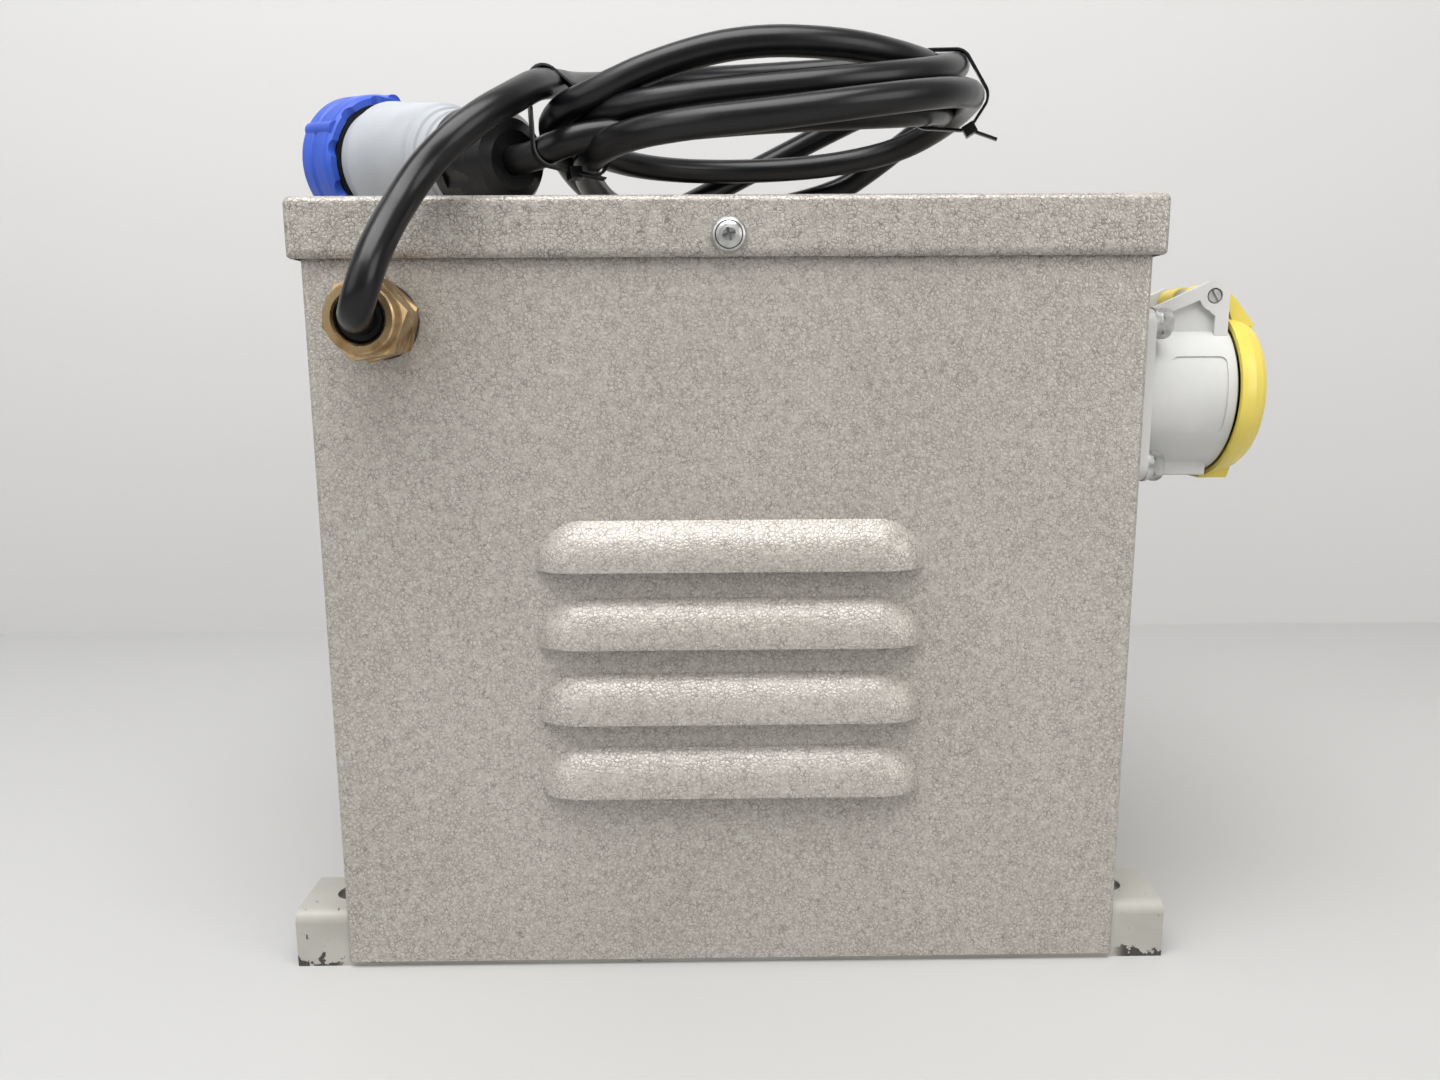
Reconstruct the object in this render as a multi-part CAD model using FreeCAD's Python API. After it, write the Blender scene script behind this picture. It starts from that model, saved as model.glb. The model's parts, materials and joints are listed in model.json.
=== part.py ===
import FreeCAD, Part
import math
import os
from FreeCAD import Placement, Rotation, Vector

# Site isolating transformer in a sheet-steel case: a rubber supply cord with an industrial plug
# enters through a brass gland on the front, and a panel socket with a sprung lid is on the right.
# Millimetres, +Z up. The front, with the louvres and the gland, faces -Y.

# ---- driving dimensions -------------------------------------------------------------------

CASE_WIDTH = 300.0
CASE_DEPTH = 240.0
CASE_TOP = 290.0
SKIRT_GAP = 2.5
SHEET = 1.6
CORNER_RADIUS = 3.0
TOP_FLANGE = 14.0

LID_OVERHANG = 3.6
LID_DROP = 21.5
LID_SHEET = 1.5
LID_BEND = 3.0
LID_SCREW_DROP = 13.8
LID_CORNER = 3.4

LOUVRE_COUNT = 4
LOUVRE_LENGTH = 143.4
LOUVRE_PITCH = 28.7
LOUVRE_HEIGHT = 18.0
LOUVRE_DEPTH = 8.0
LOUVRE_TOP_LIP = 158.2
LOUVRE_SHEET = 1.3

FOOT_LENGTH = 340.2
FOOT_WIDTH = 32.0
FOOT_HEIGHT = 22.5
FOOT_SHEET = 2.5
FOOT_BEND = 4.5
SLOT_LENGTH = 25.0
SLOT_WIDTH = 11.0
SLOT_END_FROM_FOOT_END = 11.6
FOOT_BOLT_X = 95.0

TRAY_SHEET = 2.0
TRAY_UPTURN = 14.0

GLAND_X = -122.4
GLAND_Z = 247.9
GLAND_PROJECTION = 25.0
GLAND_TURN = 10.0
CORD_DIAMETER = 11.0
TIE_WIDTH = 3.6
TIE_THICKNESS = 1.2

OUTLET_Y = -73.5
OUTLET_Z = 219.7
OUTLET_BOLT_PITCH_Y = 60.0
OUTLET_BOLT_PITCH_Z = 52.8
OUTLET_BARREL_RADIUS = 31.0
OUTLET_BARREL_REACH = 41.0
OUTLET_BORE_RADIUS = 24.6
OUTLET_LID_RADIUS = 33.0
OUTLET_LID_FACE_RADIUS = 27.5
OUTLET_LID_REACH = 53.0
OUTLET_GASKET = 1.5
OUTLET_FLANGE = 5.0
OUTLET_INSERT_REACH = 30.0
LID_BACK = 41.5
HINGE_REACH = 33.8
HINGE_RISE = 36.8
HINGE_PIN_RADIUS = 2.0
EAR_OUTER = 22.0
EAR_THICKNESS = 4.0
EAR_POCKET = 2.0
EAR_BOSS_RADIUS = 5.7
KNUCKLE_RADIUS = 4.9
KNUCKLE_HALF = 17.4
SPRING_HALF = 5.0

PLUG_RING_RADIUS = 28.6
PLUG_NUT_RADIUS = 20.0
PLUG_NUT_LENGTH = 28.0
PLUG_BODY_END = 90.0
PLUG_LENGTH = 120.0
PLUG_YAW = 137.0
PLUG_TILT = 6.2
PLUG_REAR = (-81.0, -76.0, 309.9)
RING_BOSSES = 5
RING_BOSS_TURN = 36.0
RING_SCALLOPS = 10
PIN_CIRCLE = 11.9

CORE_WIDTH = 150.0
CORE_STACK = 76.0
CORE_HEIGHT = 125.0
CORE_LIMB = 50.0
CORE_WINDOW = 25.0
CORE_WINDOW_HEIGHT = 75.0
CLAMP_LEG = 24.0

# ---- places worked out from them ----------------------------------------------------------

HALF_WIDTH = CASE_WIDTH / 2
HALF_DEPTH = CASE_DEPTH / 2
LID_HALF_WIDTH = HALF_WIDTH + LID_OVERHANG
LID_HALF_DEPTH = HALF_DEPTH + LID_OVERHANG
LID_SCREW_Z = CASE_TOP - LID_SCREW_DROP
TRAY_Z = FOOT_HEIGHT
CORE_Z = TRAY_Z + TRAY_SHEET + 5.0 + CORE_HEIGHT / 2
FOOT_Y = HALF_DEPTH - SHEET - 0.2 - FOOT_WIDTH / 2

# The origin is under the middle of the object without its free cord: the outlet reaches further
# right than the feet reach left, and the gland further forward than the louvres reach back.
RIGHT_REACH = HALF_WIDTH + OUTLET_LID_REACH
LEFT_REACH = FOOT_LENGTH / 2
FRONT_REACH = HALF_DEPTH + GLAND_PROJECTION
REAR_REACH = HALF_DEPTH + LOUVRE_DEPTH
TO_ORIGIN = Vector((LEFT_REACH - RIGHT_REACH) / 2, (FRONT_REACH - REAR_REACH) / 2, 0)

X_AXIS = Vector(1, 0, 0)
Y_AXIS = Vector(0, 1, 0)
Z_AXIS = Vector(0, 0, 1)
OUT = Vector(0, -1, 0)
EARTH_STUD = Vector(108, -76, TRAY_Z)
TERMINALS = (-112.0, 20.0)
GLAND_FACE = Vector(GLAND_X, -HALF_DEPTH, GLAND_Z)
CORD_EXIT = GLAND_FACE + OUT * GLAND_PROJECTION
SLOT_X = FOOT_LENGTH / 2 - SLOT_END_FROM_FOOT_END - SLOT_LENGTH / 2

PLUG_WAY = Rotation(Z_AXIS, PLUG_YAW).multVec(Vector(math.cos(math.radians(PLUG_TILT)), 0,
                                                     math.sin(math.radians(PLUG_TILT))))
PLUG_PLACE = Placement(Vector(*PLUG_REAR), Rotation(Z_AXIS, PLUG_WAY))

# The lead bends up out of the gland, rises in front of the lid and leans back over its edge.
LEAD_ROUTE = [
    CORD_EXIT,
    CORD_EXIT + OUT * 7.5,
    Vector(-120.6, -158.0, 252.0),
    Vector(-118.2, -160.5, 260.5),
    Vector(-114.8, -155.5, 269.5),
    Vector(-110.8, -147.0, 278.5),
    Vector(-105.2, -139.5, 288.5),
    Vector(-98.5, -133.5, 298.5),
    Vector(-90.5, -128.5, 308.5),
    Vector(-83.5, -121.5, 317.0),
    Vector(-76.5, -111.0, 325.5),
    Vector(-69.0, -95.5, 332.0),
    Vector(-61.5, -80.0, 334.5),
]

# The tail comes out of the hank's left end straight into the plug's nut.
TAIL_ROUTE = [
    Vector(*PLUG_REAR) + PLUG_WAY * -25.0,
    Vector(*PLUG_REAR) + PLUG_WAY * 8.0,
]

# Upright sections of the hank from left to right: x, middle y, middle z, half depth, half height.
HANK_SECTIONS = [
    (-72.5, -79.0, 322.0, 9.0, 9.0),
    (-66.0, -73.0, 322.5, 24.0, 24.0),
    (-57.0, -60.0, 323.0, 39.0, 29.0),
    (-38.0, -46.5, 325.0, 62.0, 34.5),
    (-10.0, -41.5, 329.5, 83.0, 39.2),
    (25.0, -38.0, 333.4, 90.5, 43.1),
    (60.0, -33.0, 341.5, 85.5, 35.5),
    (86.0, -31.0, 346.5, 67.5, 28.5),
    (101.0, -30.0, 347.0, 41.0, 20.5),
    (109.0, -31.0, 346.0, 17.0, 10.0),
]

os.makedirs("parts", exist_ok=True)


# ---- helpers ------------------------------------------------------------------------------

def save(name, shape):
    """Write one sub-part in the object's own frame, and print what it is made of."""
    moved = shape.copy()
    moved.translate(TO_ORIGIN)
    moved.exportStep("parts/" + name + ".step")
    print(name, "solids", len(moved.Solids), "valid", moved.isValid(), "mm3", round(moved.Volume))


def group(shapes):
    return Part.makeCompound(shapes)


def block(x0, x1, y0, y1, z0, z1):
    return Part.makeBox(x1 - x0, y1 - y0, z1 - z0, Vector(x0, y0, z0))


def rod(base, axis, radius, length):
    return Part.makeCylinder(radius, length, base, axis)


def washer(base, axis, outer, inner, length):
    return rod(base, axis, outer, length).cut(rod(base, axis, inner, length))


def edges_along(shape, axis):
    """The straight edges of a shape that run along an axis."""
    found = []
    for edge in shape.Edges:
        if isinstance(edge.Curve, Part.Line):
            run = edge.Vertexes[-1].Point - edge.Vertexes[0].Point
            if run.cross(axis).Length < 1e-6 * run.Length:
                found.append(edge)
    return found


def soft_block(x0, x1, y0, y1, z0, z1, axis, radius):
    """A block with the edges along one axis rounded."""
    body = block(x0, x1, y0, y1, z0, z1)
    return body.makeFillet(radius, edges_along(body, axis))


def hexagon(base, axis, across_flats, length, turn=0.0):
    """A hexagonal prism; a turn of 0 puts a corner along the axis's first side direction."""
    corner = across_flats / math.sqrt(3)
    side = Rotation(Z_AXIS, axis)
    points = []
    for i in range(7):
        angle = math.radians(60 * i + turn)
        flat = Vector(corner * math.cos(angle), corner * math.sin(angle), 0)
        points.append(base + side.multVec(flat))
    return Part.Face(Part.makePolygon(points)).extrude(axis * length)


def chamfered_hexagon(base, axis, across_flats, length, turn=0.0):
    """A hexagon whose corners are turned off at both ends, as on a nut."""
    corner = across_flats / math.sqrt(3)
    cut = (corner - across_flats / 2) * 0.6
    cone_up = Part.makeCone(across_flats / 2, across_flats / 2 + length * 2, length * 2, base, axis)
    top = base + axis * length
    cone_down = Part.makeCone(across_flats / 2, across_flats / 2 + length * 2, length * 2, top, axis * -1)
    envelope = rod(base, axis, corner + cut, length)
    return hexagon(base, axis, across_flats, length, turn).common(cone_up).common(cone_down).common(envelope)


def turned(profile, base, axis):
    """A solid of revolution. The profile lists (radius, height) points along the axis."""
    side = Rotation(Z_AXIS, axis)
    points = [base + side.multVec(Vector(radius, 0, height)) for radius, height in profile]
    points.append(points[0])
    return Part.Face(Part.makePolygon(points)).revolve(base, axis, 360)


def centreline(points):
    """Straight runs joined by tangent arcs, each as large as its two runs allow."""
    edges = []
    radii = []
    start = points[0]
    for before, corner, after in zip(points, points[1:], points[2:]):
        run_in = corner - before
        run_out = after - corner
        shorter = min(run_in.Length, run_out.Length)
        back = 0.45 * shorter
        turn = run_in.getAngle(run_out)
        radius = back / math.tan(turn / 2)
        way_in = run_in.normalize()
        way_out = run_out.normalize()
        first = corner - way_in * back
        last = corner + way_out * back
        middle_way = (way_out - way_in).normalize()
        middle = corner + middle_way * (radius / math.cos(turn / 2) - radius)
        edges.append(Part.LineSegment(start, first).toShape())
        edges.append(Part.Arc(first, middle, last).toShape())
        radii.append(radius)
        start = last
    edges.append(Part.LineSegment(start, points[-1]).toShape())
    return Part.Wire(edges), radii


def tube(name, points, diameter):
    """A round cable along a route; prints its radii and checks its volume."""
    path, radii = centreline(points)
    way = (points[1] - points[0]).normalize()
    circle = Part.Wire(Part.makeCircle(diameter / 2, points[0], way))
    body = path.makePipeShell([circle], True, False)
    expected = math.pi * diameter ** 2 / 4 * path.Length
    print(name, "length", round(path.Length, 1), "radii", [round(r, 1) for r in radii],
          "volume ratio", round(body.Volume / expected, 4))
    return body


# ---- case ---------------------------------------------------------------------------------

def louvre_solid(depth, height, lip_z, face_y, outward, half_length, inset):
    """A hood of one arched section, closed by a quarter dome at each end."""
    back_y = face_y - outward * inset
    lip = Vector(0, face_y + outward * depth, lip_z)
    shoulder = Vector(0, face_y + outward * depth * 0.79, lip_z + height * 0.55)
    root = Vector(0, face_y, lip_z + height)
    back_high = Vector(0, back_y, lip_z + height)
    back_low = Vector(0, back_y, lip_z)
    section = Part.Wire([
        Part.Arc(lip, shoulder, root).toShape(),
        Part.LineSegment(root, back_high).toShape(),
        Part.LineSegment(back_high, back_low).toShape(),
        Part.LineSegment(back_low, lip).toShape(),
    ])
    straight = half_length - height
    face = Part.Face(section)
    face.translate(Vector(-straight, 0, 0))
    hood = face.extrude(Vector(2 * straight, 0, 0))
    keep = block(-half_length, half_length, face_y - 20, face_y + 20, lip_z, lip_z + height)
    for side in (-1, 1):
        end = Part.Face(section)
        end.translate(Vector(side * straight, 0, 0))
        dome = end.revolve(Vector(side * straight, face_y, lip_z), Y_AXIS, 360)
        hood = hood.fuse(dome.common(keep))
    return hood.removeSplitter()


def with_louvres(body, face_y, outward):
    """Press the row of louvres out of one wall."""
    for i in range(LOUVRE_COUNT):
        lip_z = LOUVRE_TOP_LIP - i * LOUVRE_PITCH
        half = LOUVRE_LENGTH / 2
        outer = louvre_solid(LOUVRE_DEPTH, LOUVRE_HEIGHT, lip_z, face_y, outward, half, 0.5)
        inner = louvre_solid(LOUVRE_DEPTH - LOUVRE_SHEET, LOUVRE_HEIGHT - LOUVRE_SHEET, lip_z, face_y,
                             outward, half - LOUVRE_SHEET, SHEET + 1)
        inner.translate(Vector(0, 0, -0.01))
        body = body.fuse(outer).cut(inner)
    return body


def lid_screw_places():
    """Where each lid screw enters, and the way its head faces."""
    return [
        (Vector(0, -HALF_DEPTH, LID_SCREW_Z), Y_AXIS * -1),
        (Vector(0, HALF_DEPTH, LID_SCREW_Z), Y_AXIS),
        (Vector(-HALF_WIDTH, 0, LID_SCREW_Z), X_AXIS * -1),
        (Vector(HALF_WIDTH, 0, LID_SCREW_Z), X_AXIS),
    ]


def outlet_bolt_places():
    places = []
    for side in (-1, 1):
        for level in (-1, 1):
            y = OUTLET_Y + side * OUTLET_BOLT_PITCH_Y / 2
            z = OUTLET_Z + level * OUTLET_BOLT_PITCH_Z / 2
            places.append(Vector(HALF_WIDTH, y, z))
    return places


def foot_bolt_places():
    return [Vector(sx * FOOT_BOLT_X, sy * FOOT_Y, TRAY_Z) for sx in (-1, 1) for sy in (-1, 1)]


def core_foot_places():
    """Where the core's lower clamps are bolted down to the tray."""
    y = CORE_STACK / 2 + CLAMP_LEG / 2 + 2
    return [Vector(sx * 50, sy * y, TRAY_Z) for sx in (-1, 1) for sy in (-1, 1)]


def case_body():
    """One folded wrapper: four walls, an inturned top flange, louvres, and notches for the feet."""
    outer = soft_block(-HALF_WIDTH, HALF_WIDTH, -HALF_DEPTH, HALF_DEPTH, SKIRT_GAP,
                       CASE_TOP - LID_SHEET, Z_AXIS, CORNER_RADIUS)
    inside_x = HALF_WIDTH - SHEET
    inside_y = HALF_DEPTH - SHEET
    room = soft_block(-inside_x, inside_x, -inside_y, inside_y, 0,
                      CASE_TOP - LID_SHEET - SHEET, Z_AXIS, CORNER_RADIUS - SHEET)
    mouth = soft_block(-inside_x + TOP_FLANGE, inside_x - TOP_FLANGE, -inside_y + TOP_FLANGE,
                       inside_y - TOP_FLANGE, CASE_TOP - 20, CASE_TOP, Z_AXIS, 8)
    body = outer.cut(room).cut(mouth)
    body = with_louvres(body, -HALF_DEPTH, -1)
    body = with_louvres(body, HALF_DEPTH, 1)
    half_notch = FOOT_WIDTH / 2 + 0.15
    for side in (-1, 1):
        notch = block(-HALF_WIDTH - 1, HALF_WIDTH + 1, side * FOOT_Y - half_notch,
                      side * FOOT_Y + half_notch, 0, FOOT_HEIGHT + 0.1)
        body = body.cut(notch)
    body = body.cut(rod(Vector(GLAND_X, -HALF_DEPTH - 1, GLAND_Z), Y_AXIS, 10.2, 4))
    for place, way in lid_screw_places():
        body = body.cut(rod(place - way * 4, way, 3.5, 6))
    for place in outlet_bolt_places():
        body = body.cut(rod(place - X_AXIS * 4, X_AXIS, 3.2, 6))
    return body.cut(rod(Vector(HALF_WIDTH - 4, OUTLET_Y, OUTLET_Z), X_AXIS, 27.2, 6))


def case_lid():
    """A pan lid whose turned-down flange overlaps the walls."""
    low = CASE_TOP - LID_DROP
    outer = soft_block(-LID_HALF_WIDTH, LID_HALF_WIDTH, -LID_HALF_DEPTH, LID_HALF_DEPTH, low,
                       CASE_TOP, Z_AXIS, LID_BEND)
    rim = [edge for edge in outer.Edges if edge.BoundBox.ZMin > CASE_TOP - 0.01]
    outer = outer.makeFillet(LID_BEND - 0.4, rim)
    wide = soft_block(-LID_HALF_WIDTH, LID_HALF_WIDTH, -LID_HALF_DEPTH, LID_HALF_DEPTH, low,
                      CASE_TOP + 10, Y_AXIS, LID_CORNER)
    deep = soft_block(-LID_HALF_WIDTH, LID_HALF_WIDTH, -LID_HALF_DEPTH, LID_HALF_DEPTH, low,
                      CASE_TOP + 10, X_AXIS, LID_CORNER)
    outer = outer.common(wide).common(deep)
    dx = LID_HALF_WIDTH - LID_SHEET
    dy = LID_HALF_DEPTH - LID_SHEET
    lid = outer.cut(soft_block(-dx, dx, -dy, dy, low, CASE_TOP - LID_SHEET, Z_AXIS, LID_BEND - LID_SHEET))
    for place, way in lid_screw_places():
        lid = lid.cut(rod(place, way, 2.8, 8))
    return lid


def base_tray():
    """The shallow tray that closes the bottom, welded inside the walls and bolted to the feet."""
    x = HALF_WIDTH - SHEET - 0.1
    y = HALF_DEPTH - SHEET - 0.1
    outer = soft_block(-x, x, -y, y, TRAY_Z + 0.1, TRAY_Z + TRAY_UPTURN, Z_AXIS, 2)
    room = soft_block(-x + TRAY_SHEET, x - TRAY_SHEET, -y + TRAY_SHEET, y - TRAY_SHEET,
                      TRAY_Z + TRAY_SHEET, TRAY_Z + TRAY_UPTURN, Z_AXIS, 0.8)
    tray = outer.cut(room)
    for place in foot_bolt_places() + core_foot_places() + [EARTH_STUD]:
        tray = tray.cut(rod(Vector(place.x, place.y, 0), Z_AXIS, 3.3, 60))
    return tray


def foot_rail(side):
    """An inverted channel across the underside; its slotted ends stand out past the walls."""
    y0 = side * FOOT_Y - FOOT_WIDTH / 2
    y1 = side * FOOT_Y + FOOT_WIDTH / 2
    half = FOOT_LENGTH / 2
    rail = block(-half, half, y0, y1, 0, FOOT_HEIGHT)
    upper = [e for e in edges_along(rail, X_AXIS) if e.CenterOfMass.z > FOOT_HEIGHT - 0.01]
    rail = rail.makeFillet(FOOT_BEND, upper)
    room = block(-half, half, y0 + FOOT_SHEET, y1 - FOOT_SHEET, -1, FOOT_HEIGHT - FOOT_SHEET)
    upper = [e for e in edges_along(room, X_AXIS) if e.CenterOfMass.z > 1]
    rail = rail.cut(room.makeFillet(FOOT_BEND - FOOT_SHEET, upper))
    straight = SLOT_LENGTH / 2 - SLOT_WIDTH / 2
    for end in (-1, 1):
        middle = end * SLOT_X
        rail = rail.cut(block(middle - straight, middle + straight, side * FOOT_Y - SLOT_WIDTH / 2,
                              side * FOOT_Y + SLOT_WIDTH / 2, 0, FOOT_HEIGHT + 1))
        for way in (-1, 1):
            rail = rail.cut(rod(Vector(middle + way * straight, side * FOOT_Y, 0), Z_AXIS,
                                SLOT_WIDTH / 2, FOOT_HEIGHT + 1))
        rail = rail.cut(rod(Vector(end * FOOT_BOLT_X, side * FOOT_Y, 0), Z_AXIS, 3.3, 40))
    return rail


def hex_bolt(base, axis, size, head_height, across_flats, length, turn=0.0):
    """A bolt: the head stands on base, on the axis side, and the shank runs the other way."""
    head = chamfered_hexagon(base, axis, across_flats, head_height, turn)
    return head.fuse(rod(base - axis * length, axis, size / 2 - 0.05, length + 0.5))


def nut(base, axis, size, height, across_flats, turn=0.0):
    return chamfered_hexagon(base, axis, across_flats, height, turn).cut(rod(base, axis, size / 2, height))


def cross_recess(top, way):
    """The four-winged driver recess of a cross-head screw, turned a little as it was left."""
    wings = []
    for angle in (0, 90):
        wing = Part.makeBox(4.6, 1.0, 2.2, Vector(-2.3, -0.5, -2.2))
        wing.rotate(Vector(0, 0, 0), Z_AXIS, angle)
        wings.append(wing)
    recess = wings[0].fuse(wings[1])
    recess.Placement = Placement(top, Rotation(way, 17).multiply(Rotation(Z_AXIS, way)))
    return recess


def lid_fasteners():
    """Raised-head screws in cup washers, and the rivet nuts behind them."""
    screws = []
    cups = []
    rivets = []
    for place, way in lid_screw_places():
        face = place + way * LID_OVERHANG
        cups.append(turned([(3.1, 0), (6.25, 0), (6.25, 0.7), (5.6, 1.7), (4.9, 2.0), (4.72, 1.5),
                            (3.1, 0.25)], face, way))
        head = turned([(0, 0.45), (3.05, 0.45), (4.62, 1.8), (4.5, 2.1), (3.6, 2.7), (2.2, 3.1),
                       (0, 3.2)], face, way)
        screw = head.fuse(rod(face - way * 12, way, 2.45, 13))
        screws.append(screw.cut(cross_recess(face + way * 3.3, way)))
        rivets.append(turned([(2.5, -7.5), (3.45, -7.5), (3.45, 0), (5.2, 0), (5.2, 0.8), (2.5, 0.8)],
                             place, way))
    return screws, cups, rivets


# ---- gland --------------------------------------------------------------------------------

def gland_parts():
    """Brass compression gland: body, cap, rubber seal, fibre washer and inside locknut."""
    fibre = washer(GLAND_FACE, OUT, 13.5, 10.1, 1.2)
    body = chamfered_hexagon(GLAND_FACE + OUT * 1.2, OUT, 26.0, 6.3, GLAND_TURN + 6)
    body = body.fuse(rod(GLAND_FACE - OUT * 12, OUT, 10.0, 14))
    body = body.fuse(rod(GLAND_FACE + OUT * 7, OUT, 10.6, 7))
    body = body.cut(rod(GLAND_FACE - OUT * 13, OUT, 7.2, 40))
    cap = turned([(0, 7.9), (16, 7.9), (16, 17.5), (12.9, 19.2), (12.4, 20.0), (11.9, 24.4), (11.3, 25.0),
                  (9.2, 25.0), (8.5, 24.3), (0, 24.3)], GLAND_FACE, OUT)
    envelope = hexagon(GLAND_FACE, OUT, 25.6, 30, GLAND_TURN)
    envelope = envelope.fuse(rod(GLAND_FACE + OUT * 18.6, OUT, 12.9, 12))
    cap = cap.common(envelope)
    cap = cap.cut(rod(GLAND_FACE, OUT, 10.75, 14.2)).cut(rod(GLAND_FACE, OUT, 8.5, 30))
    seal = turned([(CORD_DIAMETER / 2 + 0.05, 14.4), (8.3, 14.4), (8.3, 22.2), (7.3, 23.2),
                   (CORD_DIAMETER / 2 + 0.05, 23.2)], GLAND_FACE, OUT)
    lock = nut(GLAND_FACE - OUT * (SHEET + 4.1), OUT, 20.2, 4.0, 26.0, 12)
    return body, cap, seal, fibre, lock


# ---- supply cord --------------------------------------------------------------------------

def hank_section(x, y, z, half_y, half_z):
    """One upright rounded outline of the tied hank."""
    slab = soft_block(x, x + 1, y - half_y, y + half_y, z - half_z, z + half_z, X_AXIS,
                      min(half_y, half_z) * 0.8)
    ends = [face for face in slab.Faces if abs(face.CenterOfMass.x - x) < 1e-6]
    return ends[0].OuterWire


def cord_hank():
    """The outer shape of the tied hank of turns that lies on the lid."""
    return Part.makeLoft([hank_section(*row) for row in HANK_SECTIONS], True, True)


def cable_tie(middle, half_x, half_z, head, tail):
    """A closed strap round the bundle, upright and across Y, with its square head and cut tail."""
    radius = min(half_x, half_z) * 0.8
    strap = soft_block(middle.x - half_x, middle.x + half_x, middle.y - TIE_WIDTH / 2,
                       middle.y + TIE_WIDTH / 2, middle.z - half_z, middle.z + half_z, Y_AXIS, radius)
    hole_x = half_x - TIE_THICKNESS
    hole_z = half_z - TIE_THICKNESS
    hole = soft_block(middle.x - hole_x, middle.x + hole_x, middle.y - TIE_WIDTH,
                      middle.y + TIE_WIDTH, middle.z - hole_z, middle.z + hole_z, Y_AXIS,
                      radius - TIE_THICKNESS)
    box = block(head.x - 3, head.x + 3, head.y - 3.2, head.y + 3.2, head.z - 3, head.z + 3)
    end = rod(head, tail.normalize(), 1.3, 16)
    return strap.cut(hole).fuse(box).fuse(end)


# ---- plug ---------------------------------------------------------------------------------

def on_plug(shape):
    """Move a shape made along +Z from the origin to the plug's place on the lid."""
    shape.Placement = PLUG_PLACE.multiply(shape.Placement)
    return shape


def plug_gland_nut():
    """The domed black nut with finger scallops that grips the cord."""
    face = PLUG_NUT_LENGTH
    nut_body = turned([(5.6, 0), (11, 0), (15.4, 2.0), (18.6, 6.5), (PLUG_NUT_RADIUS, 12.5),
                       (PLUG_NUT_RADIUS, face - 1), (PLUG_NUT_RADIUS - 0.8, face), (15.6, face),
                       (15.6, 16), (9.5, 10), (5.6, 10)], Vector(0, 0, 0), Z_AXIS)
    for i in range(8):
        angle = math.radians(45 * i + 20)
        reach = PLUG_NUT_RADIUS + 5.2
        finger = rod(Vector(reach * math.cos(angle), reach * math.sin(angle), 1), Z_AXIS, 6.6, 20)
        nut_body = nut_body.cut(finger)
    return nut_body


def plug_body():
    """The grey housing: a stepped neck that widens to the collar behind the locking ring."""
    neck = PLUG_NUT_LENGTH + 0.4
    end = PLUG_BODY_END
    outer = [(0, 17), (15.2, 17), (15.2, neck), (18.2, neck), (18.6, neck + 4.6), (19.6, neck + 5.1),
             (20.0, neck + 9.1), (21.0, neck + 9.6), (21.4, neck + 14.1), (22.6, neck + 15.1),
             (24.4, end - 18), (25.2, end - 9), (24.9, end - 8), (22.9, end - 7), (22.9, end), (0, end)]
    inner = [(0, 16), (9.0, 16), (9.0, 32), (17.5, 45), (20.5, end - 13), (20.5, end + 1), (0, end + 1)]
    shell = turned(outer, Vector(0, 0, 0), Z_AXIS).cut(turned(inner, Vector(0, 0, 0), Z_AXIS))
    return shell


def plug_shroud():
    """The tubular collar that goes into a socket round the pins."""
    root = PLUG_BODY_END + 0.2
    shroud = turned([(19.6, root - 10), (20.4, root - 10), (20.4, root), (22.0, root),
                     (22.0, PLUG_LENGTH), (19.6, PLUG_LENGTH)], Vector(0, 0, 0), Z_AXIS)
    key = block(21.5, 24.0, -2.4, 2.4, root + 5, PLUG_LENGTH - 2)
    return shroud.fuse(key)


def plug_lock_ring():
    """The bayonet ring: a sleeve with one groove and grip bosses, free to turn on the shroud."""
    start = PLUG_BODY_END + 1
    outer = PLUG_RING_RADIUS
    profile = [(24.6, 0), (27.2, 0), (outer - 0.4, 2.0), (outer, 3.8), (outer, 11.6), (27.9, 12.5),
               (27.9, 14.7), (outer, 15.6), (outer, 22.2), (27.6, 24), (24.6, 24)]
    ring = turned([(radius, start + along) for radius, along in profile], Vector(0, 0, 0), Z_AXIS)
    for i in range(RING_BOSSES):
        angle = math.radians(360 / RING_BOSSES * i + RING_BOSS_TURN)
        reach = PLUG_RING_RADIUS - 2.4
        base = Vector(reach * math.cos(angle), reach * math.sin(angle), start + 1.3)
        ring = ring.fuse(rod(base, Z_AXIS, 3.4, 21))
    ring = ring.cut(rod(Vector(0, 0, start - 6), Z_AXIS, 24.6, 40))
    for i in range(RING_SCALLOPS):
        angle = math.radians(360 / RING_SCALLOPS * i + RING_BOSS_TURN / 2)
        way = Vector(math.cos(angle), math.sin(angle), 0)
        ring = ring.cut(rod(Vector(0, 0, start - 3.4) + way * 20, way, 4.8, 20))
    return ring


def pin_places():
    """The centre and radius of each pin: a thick earth pin, and two line pins beside it."""
    places = []
    for angle, radius in ((0, 3.5), (120, 2.5), (240, 2.5)):
        turn = math.radians(angle)
        places.append((PIN_CIRCLE * math.cos(turn), PIN_CIRCLE * math.sin(turn), radius))
    return places


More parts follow.
